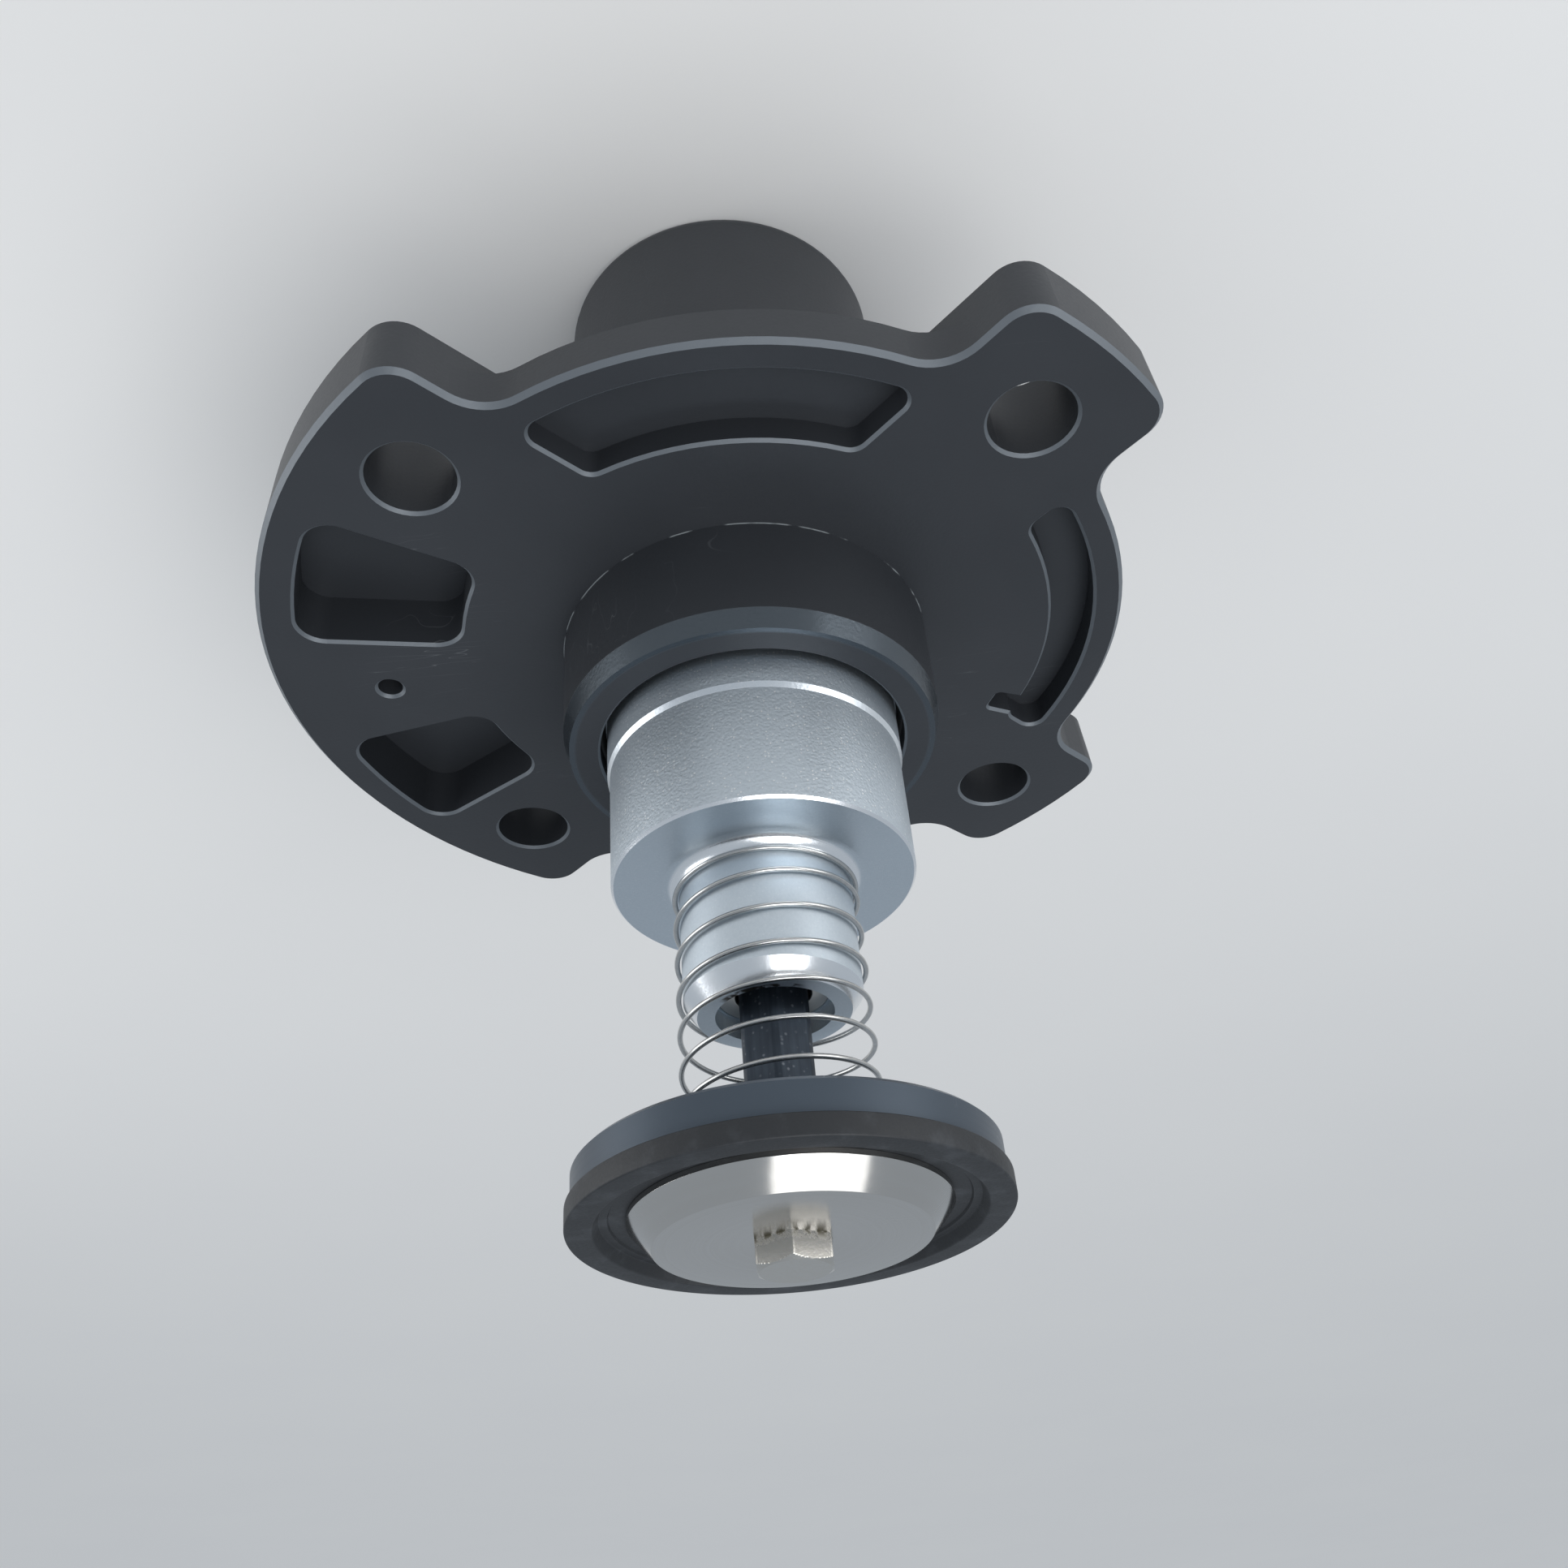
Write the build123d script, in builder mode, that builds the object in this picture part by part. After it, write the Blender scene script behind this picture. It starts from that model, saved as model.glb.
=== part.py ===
from build123d import *
import math
import os

# Minimum pressure valve, in millimetres. The valve axis is Z, pointing from the closed
# spring cap to the valve plate. The origin is the centre of the flange's mounting face.
# The flange's wide side, with the two cast pockets, is on +X.

# Clearances and small edge breaks
running_clearance = 0.05
assembly_clearance = 0.1
loose_clearance = 0.3
contact_gap = 0.02
edge_break = 0.8
rim_break = 0.5
small_break = 0.4

# Flange of the cover
disc_radius = 65.0
disc_thickness = 7.4
lug_reach = 15.5
lug_width = 33.0
lug_thickness = 11.5
lug_angle = 45.0
lug_corner_radius = 6.0
lug_root_radius = 8.0
largest_corner_share = 0.4
largest_root_share = 0.52
casting_draft = 3.0
bolt_edge_distance = 15.5
bolt_hole_radius = 6.75
locating_hole_radius = 2.1
locating_hole_depth = 7.0
locating_hole_inset = 3.3
bolt_pad_radius = 10.0
bolt_pad_height = 4.5

# Arc slots between the lugs, and the two deep pockets on the wide side
slot_rim_width = 5.0
slot_width = 12.5
slot_depth = 5.0
slot_corner_radius = 2.5
upper_slot_angle = 90.0
narrow_slot_angle = 180.0
narrow_slot_width = 7.2
notch_inset = 4.0
notch_width = 8.0
notch_start_angle = 154.0
notch_end_angle = 159.0
notch_corner_radius = 0.8
pocket_rim_width = 6.0
pocket_width = 26.5
pocket_start_angle = 11.0
pocket_end_angle = 32.5
pocket_depth = 10.0
pocket_corner_radius = 4.5

# Boss in front of the flange and spring cap behind it
boss_wall = 6.0
boss_height = 21.0
boss_lead_length = 3.4
boss_lead_depth = 1.0
cap_wall = 5.0
cap_end_z = -85.0
cap_end_wall = 6.0
cap_edge_radius = 2.5
vent_radius = 1.5
vent_z = -60.0

# Snap ring that keeps the piston in the bore
snap_wire_radius = 1.0
snap_ring_z = 16.5
snap_ring_depth = 1.1
snap_ring_gap_angle = 20.0

# Piston
piston_body_radius = 23.5
piston_body_clearance = 1.5
piston_land_clearance = 1.1
piston_step_z = 26.0
piston_step_length = 0.9
piston_front_z = 47.0
piston_head_length = 26.0
piston_head_relief = 0.2
piston_front_chamfer = 0.4
cup_radius = 19.5
web_thickness = 10.6
core_radius = 11.5
core_end_wall = 4.0
neck_radius = 13.2
neck_end_z = 69.1
neck_chamfer_length = 2.6
neck_chamfer_depth = 1.9
neck_fillet_radius = 2.6
neck_bore_radius = 8.3
mouth_radius = 8.7
mouth_depth = 3.1

# Guide band and lip seal in the piston head
band_width = 7.0
band_depth = 1.5
band_offset = 3.4
seal_width = 5.0
seal_depth = 3.0
seal_offset = 15.4
seal_lip_depth = 2.2
seal_lip_half_width = 0.9
band_gap_angle = 4.0

# Main spring and its seat on the cap's floor
main_wire_radius = 2.1
main_coil_radius = 15.5
main_coil_turns = 9
spring_seat_thickness = 2.0
spring_seat_pilot_height = 5.0
spring_seat_hole_radius = 8.0

# Light check spring round the neck
check_wire_radius = 0.4
check_coil_radius = 13.85
check_coil_turns = 7
check_coil_start_angle = 48.0

# Guide stem, its bush and its retaining ring
stem_across_flats = 10.0
stem_corner_radius = 5.5
stem_length = 49.3
stem_chamfer_angle = 30.0
stem_spigot_radius = 4.0
stem_spigot_length = 2.3
stem_ring_radius = 7.3
stem_ring_thickness = 1.0
stem_ring_groove_radius = 4.8
stem_ring_gap_angle = 50.0
stem_ring_offset = 2.4
bush_break = 0.15

# Valve plate, rubber seal, retainer disc and bolt
plate_back_z = 91.8
plate_radius = 29.2
plate_thickness = 5.0
plate_break = 0.6
seal_bead_outer_radius = 29.95
seal_bead_inner_radius = 26.0
seal_bead_height = 3.1
seal_web_height = 1.2
seal_bead_corner_radius = 0.5
retainer_radius = 21.9
retainer_thickness = 4.3
retainer_cone_width = 3.2
retainer_rim_height = 0.8
bolt_across_flats = 10.0
bolt_head_height = 3.7
bolt_shank_radius = 2.95
bolt_shank_length = 20.0
bolt_clear_radius = 3.3
tapped_hole_radius = 3.0
tapped_hole_depth = 15.0
bolt_point_chamfer = 0.6
bolt_crown_radius = 4.75
bolt_crown_run = 1.1
bolt_crown_drop = 0.6
hexagon_sides = 6
hexagon_rotation = 30.0
gap_centre_angle = 90.0

# Radii and heights that follow from the sizes above
lug_radius = disc_radius + lug_reach
bolt_circle_radius = lug_radius - bolt_edge_distance
locating_hole_offset = bolt_circle_radius - locating_hole_inset
slot_outer_radius = disc_radius - slot_rim_width
slot_inner_radius = slot_outer_radius - slot_width
narrow_slot_inner_radius = slot_outer_radius - narrow_slot_width
notch_outer_radius = slot_outer_radius - notch_inset
notch_inner_radius = notch_outer_radius - notch_width
pocket_outer_radius = lug_radius - pocket_rim_width
pocket_inner_radius = pocket_outer_radius - pocket_width
bore_radius = piston_body_radius + piston_body_clearance
piston_land_radius = bore_radius - piston_land_clearance
boss_radius = bore_radius + boss_wall
cap_radius = bore_radius + cap_wall
lug_corner = min(lug_corner_radius, largest_corner_share * lug_reach)
lug_root = min(lug_root_radius, largest_root_share * lug_reach)
bush_front_z = neck_end_z - mouth_depth
cap_floor_z = cap_end_z + cap_end_wall
head_front_z = snap_ring_z - snap_wire_radius - assembly_clearance
head_back_z = head_front_z - piston_head_length
cup_floor_z = piston_front_z - web_thickness
stem_end_z = plate_back_z - stem_length
valve_travel = plate_back_z - neck_end_z - assembly_clearance * 2
stem_bore_floor_z = stem_end_z - valve_travel - 2 * stem_ring_thickness
core_end_z = stem_bore_floor_z - core_end_wall
stem_ring_z = stem_end_z + stem_ring_offset
bush_back_z = stem_ring_z + stem_ring_thickness + assembly_clearance
bush_length = bush_front_z - bush_back_z
plate_front_z = plate_back_z + plate_thickness
retainer_back_z = plate_front_z + seal_web_height
retainer_front_z = retainer_back_z + retainer_thickness
head_radius = bore_radius - running_clearance
piston_head_radius = head_radius - piston_head_relief
snap_ring_radius = bore_radius + snap_ring_depth - snap_wire_radius
band_top_z = head_front_z - band_offset
band_inner_radius = head_radius - band_depth + contact_gap
seal_top_z = head_front_z - seal_offset
seal_inner_radius = head_radius - seal_depth + contact_gap
seal_middle_radius = head_radius - seal_depth / 2
bolt_top_z = retainer_front_z + bolt_head_height
root_centre_distance = neck_fillet_radius - check_wire_radius - contact_gap
root_centre_offset = neck_radius + neck_fillet_radius - check_coil_radius
check_wire_rise = math.sqrt(root_centre_distance ** 2 - root_centre_offset ** 2)
check_spring_low_z = piston_front_z + neck_fillet_radius - check_wire_rise - check_wire_radius
full_turn = 360.0
lug_angles = [lug_angle, 180 - lug_angle, lug_angle - 180, -lug_angle]


def ring_angle(vertex):
    """Angle of a vertex about the valve axis, in degrees from +X, without its sign."""
    return abs(math.degrees(math.atan2(vertex.Y, vertex.X)))


def vertices_at_radius(sketch, radius, beyond_angle=0.0):
    """Corners of a sketch that lie on a circle about the valve axis, past an angle from +X."""
    on_circle = [v for v in sketch.vertices() if abs(math.hypot(v.X, v.Y) - radius) < contact_gap]
    return [v for v in on_circle if ring_angle(v) > beyond_angle]


def wedge(angle, mode=Mode.ADD):
    """Triangle from the valve axis that spans an angle about +X and reaches past the flange."""
    reach = 2 * lug_radius
    half_width = reach * math.tan(math.radians(angle / 2))
    Polygon((0, 0), (reach, half_width), (reach, -half_width), align=None, mode=mode)


def lug_arms(mode=Mode.ADD):
    """Four arms, one to each lug, in the sketch being made."""
    for angle in lug_angles:
        with Locations(Rotation(0, 0, angle)):
            Rectangle(lug_radius, lug_width, align=(Align.MIN, Align.CENTER), mode=mode)


def thick_regions():
    """The lugs' arms and the wide side, where the flange is thicker than its disc."""
    with BuildSketch() as regions:
        wedge(2 * lug_angle)
        lug_arms()
    return regions.sketch


def slot_outline(middle_angle, inner_radius):
    """Arc slot between two lugs, with ends in line with the lugs' sides and rounded corners."""
    with BuildSketch() as outline:
        wedge(2 * lug_angle)
        lug_arms(mode=Mode.SUBTRACT)
        Circle(slot_outer_radius, mode=Mode.INTERSECT)
        Circle(inner_radius, mode=Mode.SUBTRACT)
        fillet(outline.vertices(), slot_corner_radius)
    return outline.sketch.rotate(Axis.Z, middle_angle)


def ring_sector(inner_radius, outer_radius, start_angle, end_angle, corner_radius):
    """Sector of a ring with radial sides and rounded corners."""
    with BuildSketch() as outline:
        wedge(end_angle - start_angle)
        Circle(outer_radius, mode=Mode.INTERSECT)
        Circle(inner_radius, mode=Mode.SUBTRACT)
        fillet(outline.vertices(), corner_radius)
    return outline.sketch.rotate(Axis.Z, (start_angle + end_angle) / 2)


def coil(wire_radius, coil_radius, low_z, high_z, turns):
    """Compression spring: one closed turn at each end and evenly pitched turns between."""
    closed_pitch = 2 * wire_radius + assembly_clearance
    open_height = high_z - low_z - 2 * (wire_radius + closed_pitch)
    start = low_z + wire_radius
    with BuildPart() as spring:
        for pitch, height in ((closed_pitch, closed_pitch), (open_height / turns, open_height),
                              (closed_pitch, closed_pitch)):
            with BuildLine(Plane.XY.offset(start)) as turns_path:
                Helix(pitch, height, coil_radius)
            with BuildSketch(Plane((coil_radius, 0, start), x_dir=(1, 0, 0), z_dir=(0, 1, 0))):
                Circle(wire_radius)
            sweep(path=turns_path.line, is_frenet=True)
            start += height
    return spring


def split_ring(inner_radius, outer_radius, low_z, thickness, gap_angle):
    """Flat ring with a gap centred on +Y."""
    with BuildPart() as ring:
        with BuildSketch(Plane.XY.offset(low_z)):
            Circle(outer_radius)
            Circle(inner_radius, mode=Mode.SUBTRACT)
            with Locations(Rotation(0, 0, gap_centre_angle)):
                wedge(gap_angle, mode=Mode.SUBTRACT)
        extrude(amount=thickness)
    return ring


# Cover: flange, boss and spring cap are one casting
with BuildPart() as valve_cover:
    with BuildSketch() as front_outline:
        Circle(lug_radius)
        with BuildSketch(mode=Mode.INTERSECT):
            add(thick_regions())
            Circle(disc_radius)
        fillet(vertices_at_radius(front_outline, lug_radius, lug_angle), lug_corner)
        fillet(vertices_at_radius(front_outline, disc_radius), lug_root)
    extrude(amount=-disc_thickness, taper=casting_draft)
    with BuildSketch():
        add(front_outline.sketch)
        add(thick_regions(), mode=Mode.INTERSECT)
    extrude(amount=-lug_thickness, taper=casting_draft)
    chamfer(valve_cover.faces().sort_by(Axis.Z)[-1].outer_wire().edges(), edge_break)
    with BuildSketch(Plane.XY.offset(-lug_thickness / 2)):
        with PolarLocations(bolt_circle_radius, len(lug_angles), start_angle=lug_angle):
            Circle(bolt_pad_radius)
    extrude(amount=-lug_thickness / 2 - bolt_pad_height)
    with PolarLocations(bolt_circle_radius, len(lug_angles), start_angle=lug_angle):
        Hole(bolt_hole_radius)
    with Locations((locating_hole_offset, 0, 0)):
        Hole(locating_hole_radius, depth=locating_hole_depth)
    with BuildSketch():
        add(slot_outline(-upper_slot_angle, slot_inner_radius))
        add(slot_outline(upper_slot_angle, slot_inner_radius))
        add(slot_outline(narrow_slot_angle, narrow_slot_inner_radius))
        add(ring_sector(notch_inner_radius, notch_outer_radius, notch_start_angle,
                        notch_end_angle, notch_corner_radius))
    extrude(amount=-slot_depth, mode=Mode.SUBTRACT)
    with BuildSketch():
        for start, end in ((pocket_start_angle, pocket_end_angle),
                           (-pocket_end_angle, -pocket_start_angle)):
            add(ring_sector(pocket_inner_radius, pocket_outer_radius, start, end,
                            pocket_corner_radius))
    extrude(amount=-pocket_depth, mode=Mode.SUBTRACT)
    front_rims = valve_cover.faces().sort_by(Axis.Z)[-1].inner_wires()
    chamfer([edge for rim in front_rims for edge in rim.edges()], rim_break)
    with BuildSketch(Plane.XZ):
        Polygon(
            (0, cap_end_z),
            (cap_radius, cap_end_z),
            (cap_radius, -disc_thickness / 2),
            (boss_radius, -disc_thickness / 2),
            (boss_radius, boss_height - boss_lead_length),
            (boss_radius - boss_lead_depth, boss_height),
            (0, boss_height),
            align=None,
        )
    revolve(axis=Axis.Z)
    fillet(valve_cover.edges().group_by(Axis.Z)[0], cap_edge_radius)
    with BuildSketch(Plane.XY.offset(boss_height)):
        Circle(bore_radius)
    extrude(amount=cap_floor_z - boss_height, mode=Mode.SUBTRACT)
    chamfer(valve_cover.edges().group_by(Axis.Z)[-1].sort_by(SortBy.LENGTH)[0], small_break)
    with BuildSketch(Plane.XZ):
        with Locations((snap_ring_radius, snap_ring_z)):
            Circle(snap_wire_radius + contact_gap)
    revolve(axis=Axis.Z, mode=Mode.SUBTRACT)
    with BuildSketch(Plane.XZ.offset(-cap_radius)):
        with Locations((0, vent_z)):
            Circle(vent_radius)
    extrude(amount=cap_radius - bore_radius + edge_break, both=True, mode=Mode.SUBTRACT)
valve_cover.part.label = "valve_cover"

# Snap ring of round wire, sprung into the bore's groove
with BuildPart() as snap_ring:
    with BuildSketch(Plane.XZ):
        with Locations((snap_ring_radius, snap_ring_z)):
            Circle(snap_wire_radius)
    revolve(axis=Axis.Z, revolution_arc=full_turn - snap_ring_gap_angle)
snap_ring.part = snap_ring.part.rotate(Axis.Z, gap_centre_angle + snap_ring_gap_angle / 2)
snap_ring.part.label = "snap_ring"

# Spring seat: a disc on the cap's floor with a pilot inside the main spring
with BuildPart() as spring_seat:
    with BuildSketch(Plane.XY.offset(cap_floor_z)):
        Circle(bore_radius - loose_clearance)
    extrude(amount=spring_seat_thickness)
    with BuildSketch(Plane.XY.offset(cap_floor_z)):
        Circle(main_coil_radius - main_wire_radius - loose_clearance)
    extrude(amount=spring_seat_thickness + spring_seat_pilot_height)
    chamfer(spring_seat.edges().group_by(Axis.Z)[-1], small_break)
    with Locations((0, 0, cap_floor_z)):
        Hole(spring_seat_hole_radius)
spring_seat.part.label = "spring_seat"

# Piston: head, body and neck are turned in one piece, hollow behind for the main spring
with BuildPart() as piston:
    with BuildSketch(Plane.XZ) as piston_section:
        Polygon(
            (mouth_radius, neck_end_z),
            (neck_radius - neck_chamfer_depth, neck_end_z),
            (neck_radius, neck_end_z - neck_chamfer_length),
            (neck_radius, piston_front_z),
            (piston_body_radius - piston_front_chamfer, piston_front_z),
            (piston_body_radius, piston_front_z - piston_front_chamfer),
            (piston_body_radius, piston_step_z + piston_step_length),
            (piston_land_radius, piston_step_z),
            (piston_land_radius, head_front_z),
            (piston_head_radius, head_front_z),
            (piston_head_radius, head_back_z),
            (cup_radius, head_back_z),
            (cup_radius, cup_floor_z),
            (core_radius, cup_floor_z),
            (core_radius, core_end_z),
            (0, core_end_z),
            (0, stem_bore_floor_z),
            (neck_bore_radius, stem_bore_floor_z),
            (neck_bore_radius, neck_end_z - mouth_depth),
            (mouth_radius, neck_end_z - mouth_depth),
            align=None,
        )
        for groove_top, groove_width, groove_depth in ((band_top_z, band_width, band_depth),
                                                       (seal_top_z, seal_width, seal_depth)):
            with Locations((bore_radius, groove_top)):
                Rectangle(bore_radius - head_radius + groove_depth, groove_width,
                          align=(Align.MAX, Align.MAX), mode=Mode.SUBTRACT)
        neck_root = piston_section.vertices().sort_by_distance((neck_radius, piston_front_z))[0]
        fillet(neck_root, neck_fillet_radius)
    revolve(axis=Axis.Z)
piston.part.label = "piston"

# Guide band: a split plastic strip in the head's front groove
guide_band = split_ring(band_inner_radius, head_radius, band_top_z - band_width + contact_gap,
                        band_width - 2 * contact_gap, band_gap_angle)
guide_band.part.label = "guide_band"

# Piston seal: a lip ring whose open side faces the pressure at the front
with BuildPart() as piston_seal:
    with BuildSketch(Plane.XZ):
        Polygon(
            (seal_inner_radius, seal_top_z - seal_width + contact_gap),
            (head_radius, seal_top_z - seal_width + contact_gap),
            (head_radius, seal_top_z - contact_gap),
            (seal_middle_radius + seal_lip_half_width, seal_top_z - contact_gap),
            (seal_middle_radius, seal_top_z - seal_lip_depth),
            (seal_middle_radius - seal_lip_half_width, seal_top_z - contact_gap),
            (seal_inner_radius, seal_top_z - contact_gap),
            align=None,
        )
    revolve(axis=Axis.Z)
piston_seal.part.label = "piston_seal"

# Stem bush: pressed into the neck's bore, with a small lead-in at each end
with BuildPart() as stem_bush:
    with BuildSketch(Plane.XY.offset(bush_back_z)):
        Circle(neck_bore_radius)
        Circle(stem_corner_radius + running_clearance, mode=Mode.SUBTRACT)
    extrude(amount=bush_length)
    chamfer(stem_bush.edges().filter_by(GeomType.CIRCLE), bush_break)
stem_bush.part.label = "stem_bush"

# Springs: the heavy one under the piston, the light one behind the valve plate
main_spring = coil(main_wire_radius, main_coil_radius, cap_floor_z + spring_seat_thickness,
                   cup_floor_z, main_coil_turns)
main_spring.part.label = "main_spring"
check_spring = coil(check_wire_radius, check_coil_radius, check_spring_low_z, plate_back_z,
                    check_coil_turns)
check_spring.part = check_spring.part.rotate(Axis.Z, check_coil_start_angle)
check_spring.part.label = "check_spring"

# Guide stem: hexagon bar with its corners turned round, a spigot and a tapped hole
with BuildPart() as guide_stem:
    with BuildSketch(Plane.XY.offset(stem_end_z)):
        RegularPolygon(stem_across_flats / 2, hexagon_sides, major_radius=False,
                       rotation=hexagon_rotation)
        Circle(stem_corner_radius, mode=Mode.INTERSECT)
    extrude(amount=stem_length)
    with BuildSketch(Plane.XY.offset(stem_end_z)):
        Circle(stem_corner_radius)
        Circle(stem_corner_radius - small_break, mode=Mode.SUBTRACT)
    extrude(amount=small_break, taper=-stem_chamfer_angle, mode=Mode.SUBTRACT)
    with BuildSketch(Plane.XY.offset(plate_back_z)):
        Circle(stem_spigot_radius)
    extrude(amount=stem_spigot_length)
    with Locations((0, 0, plate_back_z + stem_spigot_length)):
        Hole(tapped_hole_radius, depth=tapped_hole_depth)
    with BuildSketch(Plane.XY.offset(stem_ring_z - contact_gap)):
        Circle(stem_corner_radius + contact_gap)
        Circle(stem_ring_groove_radius, mode=Mode.SUBTRACT)
    extrude(amount=stem_ring_thickness + 2 * contact_gap, mode=Mode.SUBTRACT)
guide_stem.part.label = "guide_stem"

# Stem ring: a spring clip that stops the stem against the back of the bush
stem_ring = split_ring(stem_ring_groove_radius + contact_gap, stem_ring_radius, stem_ring_z,
                       stem_ring_thickness, stem_ring_gap_angle)
stem_ring.part.label = "stem_ring"

# Valve plate: a turned disc on the stem's shoulder
with BuildPart() as valve_plate:
    with BuildSketch(Plane.XY.offset(plate_back_z)):
        Circle(plate_radius)
    extrude(amount=plate_thickness)
    chamfer(valve_plate.edges().group_by(Axis.Z)[0], plate_break)
    with BuildSketch(Plane.XY.offset(plate_back_z)):
        Circle(stem_spigot_radius + running_clearance)
    extrude(amount=stem_spigot_length + loose_clearance, mode=Mode.SUBTRACT)
    with Locations((0, 0, plate_back_z)):
        Hole(bolt_clear_radius)
valve_plate.part.label = "valve_plate"

# Plate seal: a rubber disc with a raised bead round its edge
with BuildPart() as plate_seal:
    with BuildSketch(Plane.XZ) as seal_section:
        Polygon(
            (bolt_clear_radius, plate_front_z),
            (seal_bead_outer_radius, plate_front_z),
            (seal_bead_outer_radius, plate_front_z + seal_bead_height),
            (seal_bead_inner_radius, plate_front_z + seal_bead_height),
            (seal_bead_inner_radius, retainer_back_z),
            (bolt_clear_radius, retainer_back_z),
            align=None,
        )
        bead_corners = seal_section.vertices().group_by(Axis.Y)[-1]
        fillet(bead_corners, seal_bead_corner_radius)
    revolve(axis=Axis.Z)
plate_seal.part.label = "plate_seal"

# Retainer disc: a turned disc with a conical rim that clamps the rubber
with BuildPart() as retainer_disc:
    with BuildSketch(Plane.XZ):
        Polygon(
            (bolt_clear_radius, retainer_back_z),
            (retainer_radius, retainer_back_z),
            (retainer_radius, retainer_back_z + retainer_rim_height),
            (retainer_radius - retainer_cone_width, retainer_front_z),
            (bolt_clear_radius, retainer_front_z),
            align=None,
        )
    revolve(axis=Axis.Z)
retainer_disc.part.label = "retainer_disc"

# Hexagon bolt through the retainer, rubber and plate into the stem
with BuildPart() as hex_bolt:
    with BuildSketch(Plane.XY.offset(retainer_front_z)):
        RegularPolygon(bolt_across_flats / 2, hexagon_sides, major_radius=False,
                       rotation=hexagon_rotation)
    extrude(amount=bolt_head_height)
    with BuildSketch(Plane.XZ):
        Polygon(
            (0, retainer_front_z),
            (bolt_crown_radius + bolt_crown_run, retainer_front_z),
            (bolt_crown_radius + bolt_crown_run, bolt_top_z - bolt_crown_drop),
            (bolt_crown_radius, bolt_top_z),
            (0, bolt_top_z),
            align=None,
        )
    revolve(axis=Axis.Z, mode=Mode.INTERSECT)
    with BuildSketch(Plane.XY.offset(retainer_front_z - bolt_shank_length)):
        Circle(bolt_shank_radius)
    extrude(amount=bolt_shank_length)
    chamfer(hex_bolt.edges().group_by(Axis.Z)[0], bolt_point_chamfer)
hex_bolt.part.label = "hex_bolt"

os.makedirs("parts", exist_ok=True)
export_step(valve_cover.part, "parts/valve_cover.step")
export_step(snap_ring.part, "parts/snap_ring.step")
export_step(spring_seat.part, "parts/spring_seat.step")
export_step(piston.part, "parts/piston.step")
export_step(guide_band.part, "parts/guide_band.step")
export_step(piston_seal.part, "parts/piston_seal.step")
export_step(stem_bush.part, "parts/stem_bush.step")
export_step(main_spring.part, "parts/main_spring.step")
export_step(check_spring.part, "parts/check_spring.step")
export_step(guide_stem.part, "parts/guide_stem.step")
export_step(stem_ring.part, "parts/stem_ring.step")
export_step(valve_plate.part, "parts/valve_plate.step")
export_step(plate_seal.part, "parts/plate_seal.step")
export_step(retainer_disc.part, "parts/retainer_disc.step")
export_step(hex_bolt.part, "parts/hex_bolt.step")
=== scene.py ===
"""A minimum pressure valve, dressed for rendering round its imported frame.

The valve stands on the closed end of its spring cap. Lengths are in metres, the valve axis is Z,
and the origin is the centre of the flange's mounting face.
"""

import math

import bpy
import numpy as np
from mathutils import Matrix, Vector


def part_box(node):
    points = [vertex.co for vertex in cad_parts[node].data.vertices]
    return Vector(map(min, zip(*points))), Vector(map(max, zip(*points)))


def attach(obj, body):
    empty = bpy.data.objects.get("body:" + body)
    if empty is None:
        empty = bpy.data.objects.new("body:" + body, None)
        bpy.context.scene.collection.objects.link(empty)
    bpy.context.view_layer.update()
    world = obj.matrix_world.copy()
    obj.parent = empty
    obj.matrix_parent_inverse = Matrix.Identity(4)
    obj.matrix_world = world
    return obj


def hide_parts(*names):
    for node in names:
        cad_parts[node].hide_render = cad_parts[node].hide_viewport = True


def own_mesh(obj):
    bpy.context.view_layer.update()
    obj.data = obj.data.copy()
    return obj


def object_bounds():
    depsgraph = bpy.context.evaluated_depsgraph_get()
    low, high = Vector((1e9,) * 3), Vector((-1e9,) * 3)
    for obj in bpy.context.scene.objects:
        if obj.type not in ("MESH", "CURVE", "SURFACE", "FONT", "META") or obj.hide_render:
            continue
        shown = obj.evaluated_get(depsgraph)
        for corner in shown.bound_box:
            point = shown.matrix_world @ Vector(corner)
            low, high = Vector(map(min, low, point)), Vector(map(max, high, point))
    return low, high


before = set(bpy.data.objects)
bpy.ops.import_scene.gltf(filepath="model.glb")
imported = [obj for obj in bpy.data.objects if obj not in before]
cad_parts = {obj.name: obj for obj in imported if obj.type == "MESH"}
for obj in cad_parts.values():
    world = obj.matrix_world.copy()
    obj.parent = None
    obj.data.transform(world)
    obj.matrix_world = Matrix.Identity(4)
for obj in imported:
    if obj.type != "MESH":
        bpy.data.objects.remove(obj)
CAD_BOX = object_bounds()

bl_info = {
    "name": "Minimum Pressure Valve",
    "version": (1, 0, 0),
    "blender": (4, 5, 0),
    "location": "View3D > Sidebar > Valve",
    "description": "Adds the finished springs, seal, stem and bolt of a minimum pressure valve",
    "category": "Add Mesh",
}

MM = 0.001
FULL_TURN = 2 * math.pi

# The photograph's camera: where it stood, and its right, down and forward directions
CAMERA_PLACE = (-4.45 * MM, -188.44 * MM, 164.39 * MM)
CAMERA_RIGHT = (-0.9955, 0.0557, 0.0770)
CAMERA_DOWN = (0.0950, 0.5833, 0.8067)
CAMERA_FORWARD = (0.0, 0.8104, -0.5859)
CAMERA_LENS = 33.09
CAMERA_SENSOR = 36.0


def top_of(node):
    """Height of a node's highest point at rest."""
    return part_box(node)[1].z


def foot_of(node):
    """Height of a node's lowest point at rest."""
    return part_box(node)[0].z


def radius_of(node):
    """Half of a node's width along X, which is its radius where it is round."""
    low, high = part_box(node)
    return (high.x - low.x) / 2


# Settings that a user would change

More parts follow.
